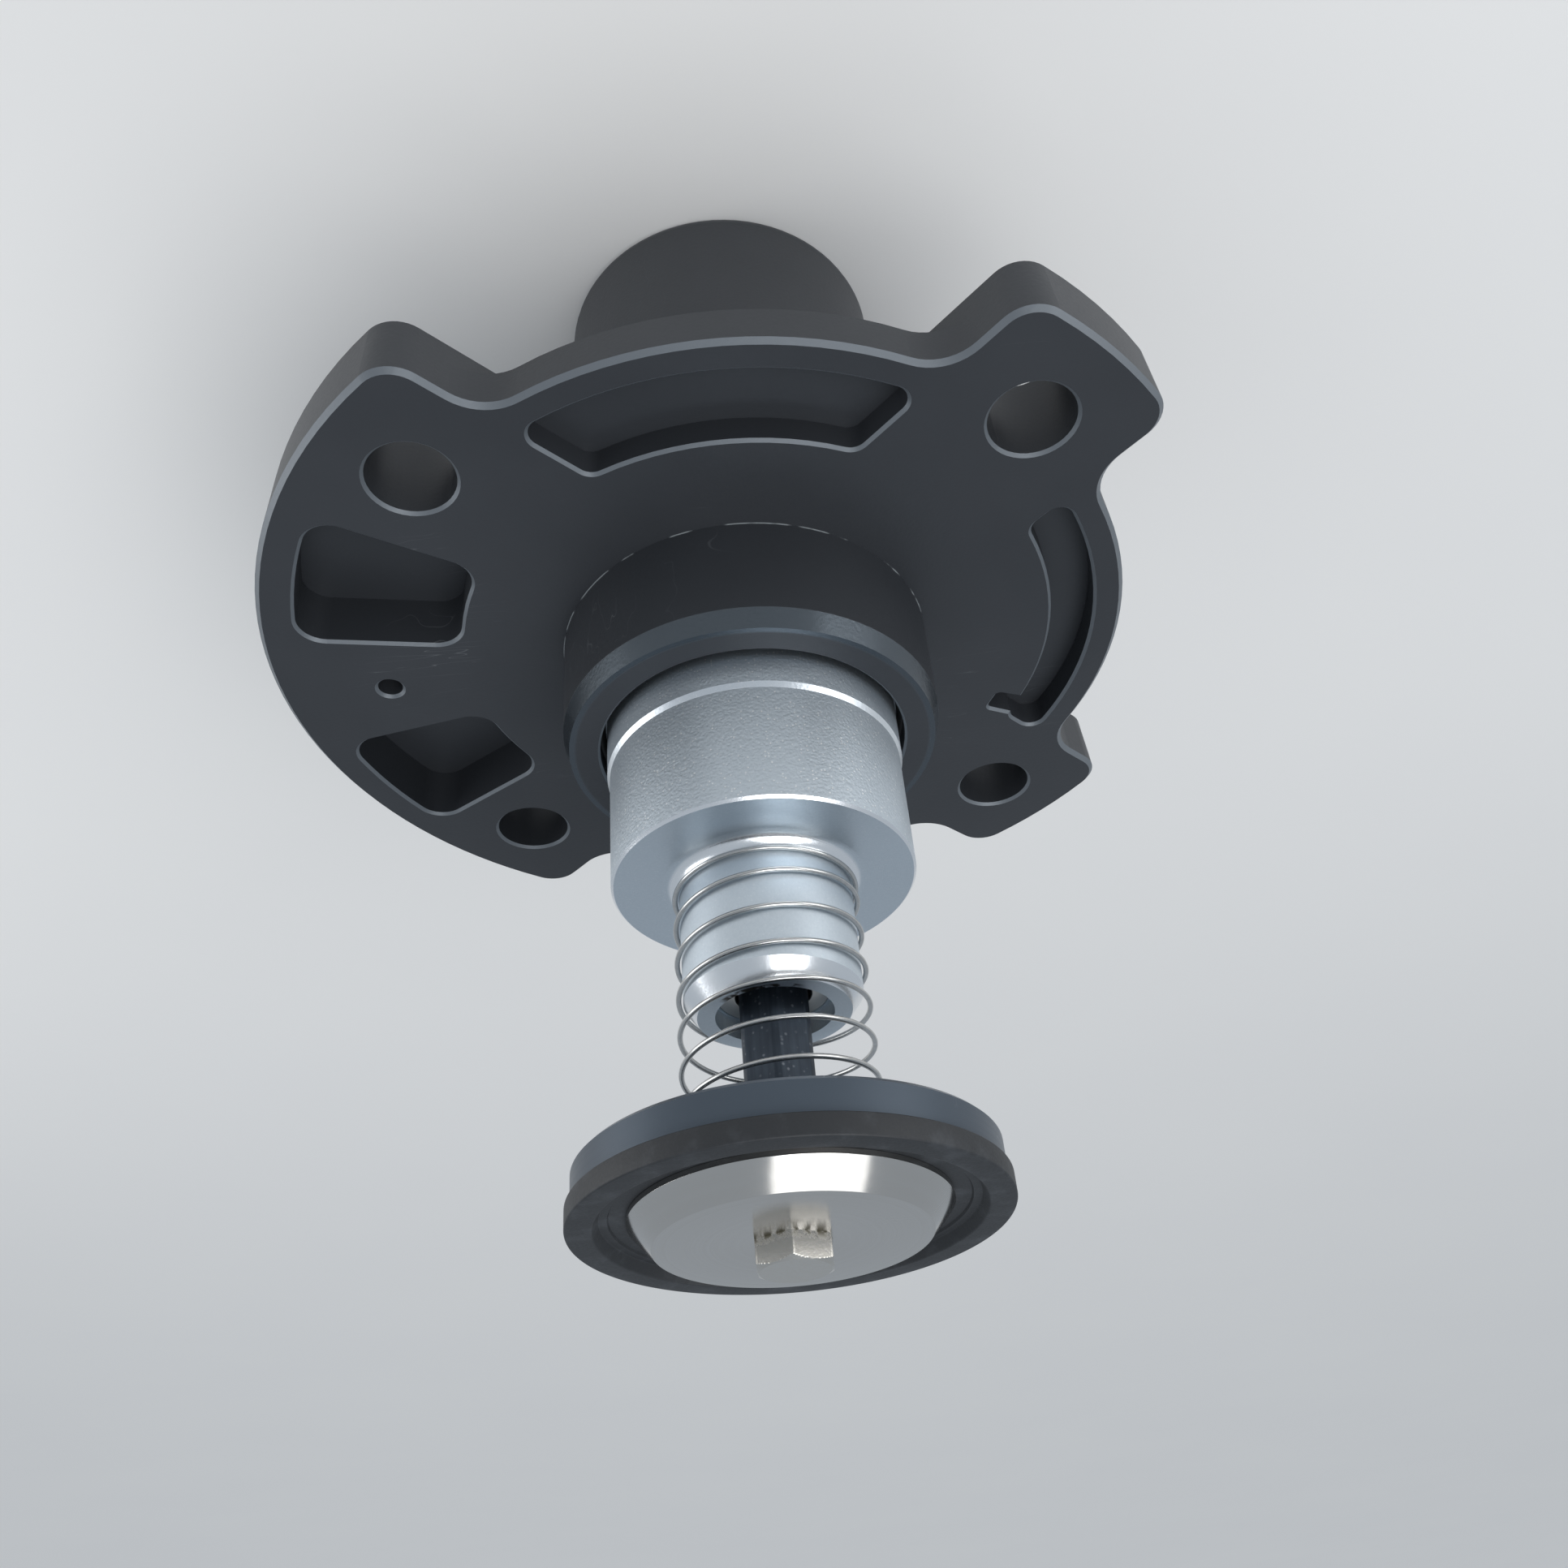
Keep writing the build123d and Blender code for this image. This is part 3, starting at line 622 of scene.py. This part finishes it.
def piston_finish(settings):
    """Blasted aluminium with bright chamfers, a finely turned front face and painted shade on the near side of its
    mouth.
    """
    material, tree, shader = new_material("blasted_aluminium")
    place, radius, height = place_parts(tree)
    grain = use_group(tree, effect("Blasted Grain", blasted_grain_group), Scale=2300.0)
    rings = use_group(tree, effect("Turning Marks", turning_marks_group), Pitch=0.22 * MM, Unevenness=0.9)
    marks = use_group(tree, effect("Handling Marks", handling_marks_group), Amount=0.3, Scale=70.0)
    light = use_group(tree, effect("Chamfer Light", chamfer_light_group), Breakup=0.1, Scale=300.0)
    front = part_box("check_spring")[0].z - 1.2 * MM
    face = band_mask(tree, height, front - 0.1 * MM, front + 0.3 * MM, 0.05 * MM)
    wall = step_mask(tree, radius, 23.0 * MM, 23.4 * MM)
    blasted = maths(tree, "MULTIPLY", wall, maths(tree, "SUBTRACT", 1.0, light.outputs["Mask"]))
    shade = mix_colour(tree, marks.outputs["Patches"], (0.50, 0.565, 0.62, 1), settings.colour)
    speckled = mix_colour(tree, grain.outputs["Value"], shade, (0.66, 0.72, 0.77, 1))
    glints = maths(tree, "MULTIPLY", maths(tree, "MULTIPLY_ADD", blasted, 0.65, 0.12), grain.outputs["Glints"])
    glinting = mix_colour(tree, glints, speckled, (1.0, 1.0, 1.0, 1))
    edged = mix_colour(tree, light.outputs["Mask"], glinting, settings.bright_colour)
    # Painted shade: a dark brown patch, broken by noise, on the near side of the mouth's rim and end face
    mouth = maths(tree, "MULTIPLY", band_mask(tree, radius, 8.5 * MM, 9.4 * MM, 0.4 * MM),
                  angle_mask(tree, math.radians(-78), math.radians(32), 0.2))
    painted_mouth_shade = maths(tree, "MULTIPLY", maths(tree, "MULTIPLY", mouth, step_mask(tree, height, 67.6 * MM, 68.6 * MM)),
                  step_mask(tree, noise(tree, place, 700.0), 0.40, 0.58))
    tree.links.new(mix_colour(tree, painted_mouth_shade, edged, (0.045, 0.038, 0.030, 1)), shader.inputs["Base Color"])
    smoother = maths(tree, "MAXIMUM", maths(tree, "MULTIPLY", light.outputs["Mask"], 0.20),
                     maths(tree, "MULTIPLY", face, 0.10))
    tree.links.new(maths(tree, "SUBTRACT", settings.roughness, smoother), shader.inputs["Roughness"])
    shader.inputs["Metallic"].default_value = 1.0
    ringed = maths(tree, "MULTIPLY", rings.outputs["Height"], maths(tree, "MULTIPLY_ADD", face, 0.5, 0.1))
    grained = maths(tree, "MULTIPLY", grain.outputs["Height"], maths(tree, "MULTIPLY_ADD", blasted, 1.6, 0.4))
    add_bump(tree, shader, maths(tree, "ADD", ringed, grained), 0.014 * MM)
    return material


def ring_finish():
    """Blackened ring of spring wire, dull under a film of oil."""
    material, tree, shader = new_material("ring_black")
    place = add_node(tree, "ShaderNodeTexCoord").outputs["Object"]
    film = noise(tree, place, 500.0)
    tree.links.new(mix_colour(tree, film, (0.012, 0.013, 0.014, 1), (0.035, 0.035, 0.036, 1)),
                   shader.inputs["Base Color"])
    tree.links.new(maths(tree, "MULTIPLY_ADD", film, 0.2, 0.38), shader.inputs["Roughness"])
    shader.inputs["Metallic"].default_value = 0.5
    return material


def wire_finish(name, settings, roughness):
    """Bright drawn spring wire with faint streaks."""
    material, tree, shader = new_material(name)
    place = add_node(tree, "ShaderNodeTexCoord").outputs["Object"]
    streaks = noise(tree, place, 900.0)
    colour = mix_colour(tree, streaks, settings.colour, (0.45, 0.45, 0.44, 1))
    tree.links.new(colour, shader.inputs["Base Color"])
    tree.links.new(maths(tree, "MULTIPLY_ADD", streaks, 0.15, roughness), shader.inputs["Roughness"])
    shader.inputs["Metallic"].default_value = 1.0
    return material


def stainless_finish(name, settings, pitch, roughness):
    """Turned stainless steel with fine rings."""
    material, tree, shader = new_material(name)
    rings = use_group(tree, effect("Turning Marks", turning_marks_group), Pitch=pitch, Unevenness=0.8)
    marks = use_group(tree, effect("Handling Marks", handling_marks_group), Amount=0.4, Scale=60.0)
    colour = mix_colour(tree, rings.outputs["Value"], settings.steel_colour, (0.55, 0.53, 0.50, 1))
    tree.links.new(colour, shader.inputs["Base Color"])
    rough = maths(tree, "MULTIPLY_ADD", rings.outputs["Value"], 0.10, roughness)
    tree.links.new(maths(tree, "ADD", rough, marks.outputs["Scratches"]), shader.inputs["Roughness"])
    shader.inputs["Metallic"].default_value = 1.0
    add_bump(tree, shader, rings.outputs["Height"], 0.004 * MM)
    return material


def bolt_finish(settings):
    """Bright steel bolt with old thread sealant and grime where the head meets the disc."""
    material, tree, shader = new_material("bolt_steel")
    place, radius, height = place_parts(tree)
    seat = top_of("retainer_disc")
    dirt = noise(tree, place, 900.0, 5.0, 0.7)
    low = step_mask(tree, height, seat + 1.3 * MM, seat - 0.1 * MM)
    grime = maths(tree, "MULTIPLY", low, step_mask(tree, dirt, 0.42, 0.60))
    brushed = noise(tree, place, 2600.0)
    steel = mix_colour(tree, brushed, settings.steel_colour, (0.56, 0.53, 0.47, 1))
    tree.links.new(mix_colour(tree, grime, steel, (0.060, 0.052, 0.026, 1)), shader.inputs["Base Color"])
    tree.links.new(maths(tree, "MULTIPLY_ADD", grime, 0.45, 0.24), shader.inputs["Roughness"])
    tree.links.new(maths(tree, "SUBTRACT", 1.0, grime), shader.inputs["Metallic"])
    add_bump(tree, shader, brushed, 0.01 * MM)
    return material


def black_bar_finish(name):
    """Blackened steel bar: satin and drawn along its length, with painted glints as pale specks."""
    material, tree, shader = new_material(name)
    coordinates = add_node(tree, "ShaderNodeTexCoord").outputs["Object"]
    stretched = add_node(tree, "ShaderNodeMapping")
    tree.links.new(coordinates, stretched.inputs["Vector"])
    stretched.inputs["Scale"].default_value = (1.0, 1.0, 0.05)
    drawn = noise(tree, stretched.outputs[0], 1500.0)
    blotch = noise(tree, coordinates, 180.0)
    grain = use_group(tree, effect("Blasted Grain", blasted_grain_group), Scale=1500.0)
    worn = maths(tree, "MULTIPLY", drawn, blotch)
    colour = mix_colour(tree, worn, (0.020, 0.027, 0.038, 1), (0.090, 0.115, 0.145, 1))
    # Painted glints: the grain's glint dots are laid into the colour as pale specks
    specks = mix_colour(tree, maths(tree, "MULTIPLY", grain.outputs["Glints"], 0.25), colour, (0.45, 0.48, 0.52, 1))
    tree.links.new(specks, shader.inputs["Base Color"])
    tree.links.new(maths(tree, "MULTIPLY_ADD", drawn, 0.2, 0.25), shader.inputs["Roughness"])
    shader.inputs["Metallic"].default_value = 0.7
    add_bump(tree, shader, drawn, 0.015 * MM)
    return material


def plate_finish(settings):
    """Slate-blue anodised plate, turned on its side and faces, with a painted highlight on its chamfers."""
    material, tree, shader = new_material("black_plate")
    rings = use_group(tree, effect("Turning Marks", turning_marks_group), Pitch=0.3 * MM, Unevenness=0.7)
    marks = use_group(tree, effect("Handling Marks", handling_marks_group), Amount=0.35, Scale=45.0)
    light = use_group(tree, effect("Chamfer Light", chamfer_light_group), Breakup=0.3, Scale=300.0)
    colour = mix_colour(tree, marks.outputs["Patches"], settings.plate_colour, (0.070, 0.090, 0.115, 1))
    # Painted highlight: faces that slope like chamfers are mixed towards a paler slate
    edged = mix_colour(tree, maths(tree, "MULTIPLY", light.outputs["Mask"], 0.6), colour, (0.20, 0.22, 0.25, 1))
    scratched = mix_colour(tree, marks.outputs["Scratches"], edged, (0.35, 0.36, 0.38, 1))
    tree.links.new(scratched, shader.inputs["Base Color"])
    tree.links.new(maths(tree, "MULTIPLY_ADD", rings.outputs["Value"], 0.14, 0.30), shader.inputs["Roughness"])
    shader.inputs["Metallic"].default_value = 0.5
    add_bump(tree, shader, rings.outputs["Height"], 0.004 * MM)
    return material


def rubber_finish(name, settings):
    """Moulded black rubber, matt, with a bloom of paler dust."""
    material, tree, shader = new_material(name)
    place = add_node(tree, "ShaderNodeTexCoord").outputs["Object"]
    bloom = noise(tree, place, 160.0, 4.0, 0.65)
    fine = noise(tree, place, 2600.0)
    colour = mix_colour(tree, step_mask(tree, bloom, 0.45, 0.75), settings.rubber_colour, (0.036, 0.040, 0.046, 1))
    tree.links.new(colour, shader.inputs["Base Color"])
    tree.links.new(maths(tree, "MULTIPLY_ADD", fine, 0.2, 0.46), shader.inputs["Roughness"])
    add_bump(tree, shader, fine, 0.02 * MM)
    return material


def dark_plastic_finish(name):
    """Filled black bearing plastic."""
    material, tree, shader = new_material(name)
    place = add_node(tree, "ShaderNodeTexCoord").outputs["Object"]
    specks = noise(tree, place, 3000.0)
    colour = mix_colour(tree, specks, (0.012, 0.012, 0.013, 1), (0.045, 0.045, 0.047, 1))
    tree.links.new(colour, shader.inputs["Base Color"])
    tree.links.new(maths(tree, "MULTIPLY_ADD", specks, 0.2, 0.35), shader.inputs["Roughness"])
    return material


def dress(piece, material):
    """Gives a piece or a frame node one material."""
    piece.data.materials.clear()
    piece.data.materials.append(material)
    return piece


def finish_piece(name, shape, material, body, node, crease=math.radians(32)):
    """Makes a piece from a shape, gives it its material and body, and stands it for its node."""
    piece = mesh_object(name, *shape, crease=crease)
    dress(piece, material)
    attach(piece, body)
    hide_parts(node)
    return piece


# Operators, one for each piece or group of like pieces

class VALVE_OT_dress_cover(bpy.types.Operator):
    """Finish the cover casting and the snap ring in its bore"""
    bl_idname = "valve.dress_cover"
    bl_label = "Cover Casting"

    def execute(self, context):
        scene = context.scene
        dress(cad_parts["valve_cover"], casting_finish(scene.valve_casting))
        ring_material = ring_finish()
        dress(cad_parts["snap_ring"], ring_material)
        dress(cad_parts["stem_ring"], ring_material)
        dress(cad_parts["spring_seat"], stainless_finish("seat_steel", scene.valve_plate, 0.3 * MM, 0.3))
        return {"FINISHED"}


class VALVE_OT_dress_piston(bpy.types.Operator):
    """Finish the piston with its guide band, seal and stem bush"""
    bl_idname = "valve.dress_piston"
    bl_label = "Piston"

    def execute(self, context):
        scene = context.scene
        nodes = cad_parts
        dress(nodes["piston"], piston_finish(scene.valve_piston))
        dress(nodes["guide_band"], dark_plastic_finish("bearing_plastic"))
        dress(nodes["stem_bush"], stainless_finish("bush_steel", scene.valve_plate, 0.25 * MM, 0.26))
        dress(nodes["piston_seal"], rubber_finish("piston_rubber", scene.valve_plate))
        return {"FINISHED"}


class VALVE_OT_add_check_spring(bpy.types.Operator):
    """Wind the light check spring between the piston and the valve plate"""
    bl_idname = "valve.add_check_spring"
    bl_label = "Check Spring"

    def execute(self, context):
        settings = context.scene.valve_springs
        low, high = foot_of("check_spring"), top_of("check_spring")
        radius = radius_of("check_spring") - settings.wire_radius
        path = coil_path(radius, low, high, settings.wire_radius, settings.open_turns, settings.start_angle)
        material = wire_finish("check_wire", settings, 0.16)
        spring = finish_piece("check_spring_wire", tube_along(path, settings.wire_radius, 14), material,
                              "piston", "check_spring")
        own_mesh(spring)
        return {"FINISHED"}


class VALVE_OT_add_main_spring(bpy.types.Operator):
    """Wind the heavy main spring inside the cap"""
    bl_idname = "valve.add_main_spring"
    bl_label = "Main Spring"

    def execute(self, context):
        settings = context.scene.valve_springs
        low, high = foot_of("main_spring"), top_of("main_spring")
        radius = radius_of("main_spring") - settings.main_wire_radius
        path = coil_path(radius, low, high, settings.main_wire_radius, settings.main_open_turns, 0.0)
        material = wire_finish("main_wire", settings, 0.28)
        spring = finish_piece("main_spring_wire", tube_along(path, settings.main_wire_radius, 20), material,
                              "cover", "main_spring")
        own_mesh(spring)
        return {"FINISHED"}


class VALVE_OT_add_guide_stem(bpy.types.Operator):
    """Add the black hexagon guide stem with its turned corners"""
    bl_idname = "valve.add_guide_stem"
    bl_label = "Guide Stem"

    def execute(self, context):
        settings = context.scene.valve_stem
        low, shoulder, end = foot_of("guide_stem"), foot_of("valve_plate"), top_of("guide_stem")
        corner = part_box("guide_stem")[1].y
        groove = (foot_of("stem_ring") - settings.gap, top_of("stem_ring") + settings.gap)
        levels = [(low, corner - settings.chamfer), (low + settings.chamfer, corner),
                  (groove[0], corner), (groove[0], settings.groove_radius),
                  (groove[1], settings.groove_radius), (groove[1], corner), (shoulder, corner),
                  (shoulder, settings.spigot_radius), (end, settings.spigot_radius)]
        shape = hexagon_bar(levels, radius_of("guide_stem"))
        finish_piece("guide_stem_bar", shape, black_bar_finish("black_bar"), "check_valve",
                     "guide_stem", crease=math.radians(20))
        return {"FINISHED"}


class VALVE_OT_add_valve_plate(bpy.types.Operator):
    """Finish the valve plate and add its moulded rubber seal and the retainer disc"""
    bl_idname = "valve.add_valve_plate"
    bl_label = "Valve Plate"

    def execute(self, context):
        settings = context.scene.valve_plate
        dress(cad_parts["valve_plate"], plate_finish(settings))
        seal_radius, retainer_radius = radius_of("plate_seal"), radius_of("retainer_disc")
        back, web, top = foot_of("plate_seal"), foot_of("retainer_disc"), top_of("plate_seal")
        front = top_of("retainer_disc")
        bead = seal_radius - settings.bead_width
        seal = rounded_outline(
            [(settings.hole_radius, back), (seal_radius, back), (seal_radius, top), (bead, top),
             (bead - 0.9 * MM, web + 0.35 * MM), (bead - 2.0 * MM, web + 0.35 * MM),
             (bead - 2.2 * MM, web), (settings.hole_radius, web)],
            np.array([0.05, 0.20, 0.30, 0.35, 0.25, 0.05, 0.05, 0.05]) * MM)
        finish_piece("plate_seal_ring", turned(seal, 256), rubber_finish("seal_rubber", settings),
                     "check_valve", "plate_seal")
        cone = settings.cone_width
        retainer = rounded_outline(
            [(settings.hole_radius, web), (retainer_radius, web),
             (retainer_radius, web + settings.rim_height), (retainer_radius - cone, front),
             (settings.hole_radius, front)],
            np.array([0.05, 0.10, 0.12, 0.12, 0.05]) * MM)
        finish_piece("retainer_turned", turned(retainer, 256),
                     stainless_finish("retainer_steel", settings, 0.18 * MM, 0.09),
                     "check_valve", "retainer_disc", crease=math.radians(50))
        return {"FINISHED"}


class VALVE_OT_add_hex_bolt(bpy.types.Operator):
    """Add the hexagon bolt with its crowned head"""
    bl_idname = "valve.add_hex_bolt"
    bl_label = "Hexagon Bolt"

    def execute(self, context):
        settings = context.scene.valve_bolt
        low, seat, top = foot_of("hex_bolt"), top_of("retainer_disc"), top_of("hex_bolt")
        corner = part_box("hex_bolt")[1].y
        shank, point = settings.shank_radius, settings.point_chamfer
        brim = corner + 0.076 * MM
        levels = [(low, shank - point), (low + point, shank), (seat, shank), (seat, brim),
                  *even_levels((top - settings.crown_height, brim), (top, brim - settings.crown_run))]
        shape = hexagon_bar(levels, radius_of("hex_bolt"))
        finish_piece("hex_bolt_head", shape, bolt_finish(context.scene.valve_plate), "check_valve",
                     "hex_bolt", crease=math.radians(20))
        return {"FINISHED"}


def aim(place, target):
    """Turn that points an object's -Z from a place to a target, with its Y axis up."""
    return (Vector(target) - Vector(place)).to_track_quat("-Z", "Y")


def add_lamp(name, kind, place, target, strength, **values):
    """A lamp aimed at a target and left out of the camera's sight."""
    light = bpy.data.lights.new(name, kind)
    light.energy = strength
    for label, value in values.items():
        setattr(light, label, value)
    lamp = bpy.data.objects.new(name, light)
    lamp.location = place
    lamp.rotation_mode = "QUATERNION"
    lamp.rotation_quaternion = aim(place, target)
    lamp.visible_camera = False
    bpy.context.scene.collection.objects.link(lamp)
    return lamp


class VALVE_OT_add_stage(bpy.types.Operator):
    """Add the pale floor, the soft lamps, the world and the photograph's camera"""
    bl_idname = "valve.add_stage"
    bl_label = "Stage"

    def execute(self, context):
        settings = context.scene.valve_stage
        half = settings.floor_size / 2
        floor_height = CAD_BOX[0].z
        corners = np.array([(-half, -half, floor_height), (half, -half, floor_height),
                            (half, half, floor_height), (-half, half, floor_height)])
        floor = mesh_object("floor", corners, [np.array([[0, 1, 2, 3]])])
        material, tree, shader = new_material("pale_floor")
        place = add_node(tree, "ShaderNodeTexCoord").outputs["Object"]
        cloudy = noise(tree, place, 6.0)
        shade = mix_colour(tree, cloudy, settings.floor_colour, (0.75, 0.74, 0.73, 1))
        tree.links.new(shade, shader.inputs["Base Color"])
        shader.inputs["Roughness"].default_value = 0.75
        dress(floor, material)
        world = bpy.data.worlds.new("studio")
        context.scene.world = world
        world.use_nodes = True
        background = world.node_tree.nodes["Background"]
        background.inputs["Color"].default_value = (0.78, 0.86, 0.95, 1)
        background.inputs["Strength"].default_value = settings.world_strength
        centre = (0, 0, 0.03)
        add_lamp("sun_lamp", "SUN", (-0.3, -0.35, 1.0), centre, settings.sun_strength, angle=math.radians(50))
        add_lamp("key_lamp", "AREA", (-0.22, -0.42, 0.60), centre, settings.key_watts, size=0.42)
        add_lamp("left_lamp", "AREA", (0.55, -0.05, 0.08), centre, settings.side_watts, size=0.35)
        add_lamp("right_lamp", "AREA", (-0.50, -0.30, 0.06), centre, settings.side_watts, size=0.35)
        camera = bpy.data.objects.new("camera", bpy.data.cameras.new("camera"))
        camera.data.lens = CAMERA_LENS
        camera.data.sensor_width = CAMERA_SENSOR
        camera.data.clip_start = 0.01
        columns = np.array([CAMERA_RIGHT, [-v for v in CAMERA_DOWN], [-v for v in CAMERA_FORWARD]]).T
        matrix = Matrix(columns.tolist()).to_4x4()
        camera.rotation_mode = "QUATERNION"
        camera.rotation_quaternion = matrix.to_quaternion()
        camera.location = CAMERA_PLACE
        context.scene.collection.objects.link(camera)
        context.scene.camera = camera
        context.scene.view_settings.view_transform = "Standard"
        return {"FINISHED"}


class VALVE_PT_pieces(bpy.types.Panel):
    """Lists the pieces that can be added"""
    bl_label = "Minimum Pressure Valve"
    bl_idname = "VALVE_PT_pieces"
    bl_space_type = "VIEW_3D"
    bl_region_type = "UI"
    bl_category = "Valve"

    def draw(self, context):
        column = self.layout.column()
        for operator in PIECES:
            column.operator(operator.bl_idname)


SETTINGS = {
    "valve_casting": ValveCastingSettings,
    "valve_piston": ValvePistonSettings,
    "valve_springs": ValveSpringSettings,
    "valve_plate": ValvePlateSettings,
    "valve_stem": ValveStemSettings,
    "valve_bolt": ValveBoltSettings,
    "valve_stage": ValveStageSettings,
}
PIECES = (
    VALVE_OT_dress_cover,
    VALVE_OT_dress_piston,
    VALVE_OT_add_check_spring,
    VALVE_OT_add_main_spring,
    VALVE_OT_add_guide_stem,
    VALVE_OT_add_valve_plate,
    VALVE_OT_add_hex_bolt,
    VALVE_OT_add_stage,
)


def register():
    for name, group in SETTINGS.items():
        bpy.utils.register_class(group)
        setattr(bpy.types.Scene, name, bpy.props.PointerProperty(type=group))
    for operator in PIECES:
        bpy.utils.register_class(operator)
    bpy.utils.register_class(VALVE_PT_pieces)


def unregister():
    bpy.utils.unregister_class(VALVE_PT_pieces)
    for operator in reversed(PIECES):
        bpy.utils.unregister_class(operator)
    for name, group in SETTINGS.items():
        delattr(bpy.types.Scene, name)
        bpy.utils.unregister_class(group)


def main():
    register()
    for operator in PIECES:
        group, name = operator.bl_idname.split(".")
        getattr(getattr(bpy.ops, group), name)()


if __name__ == "__main__":
    main()
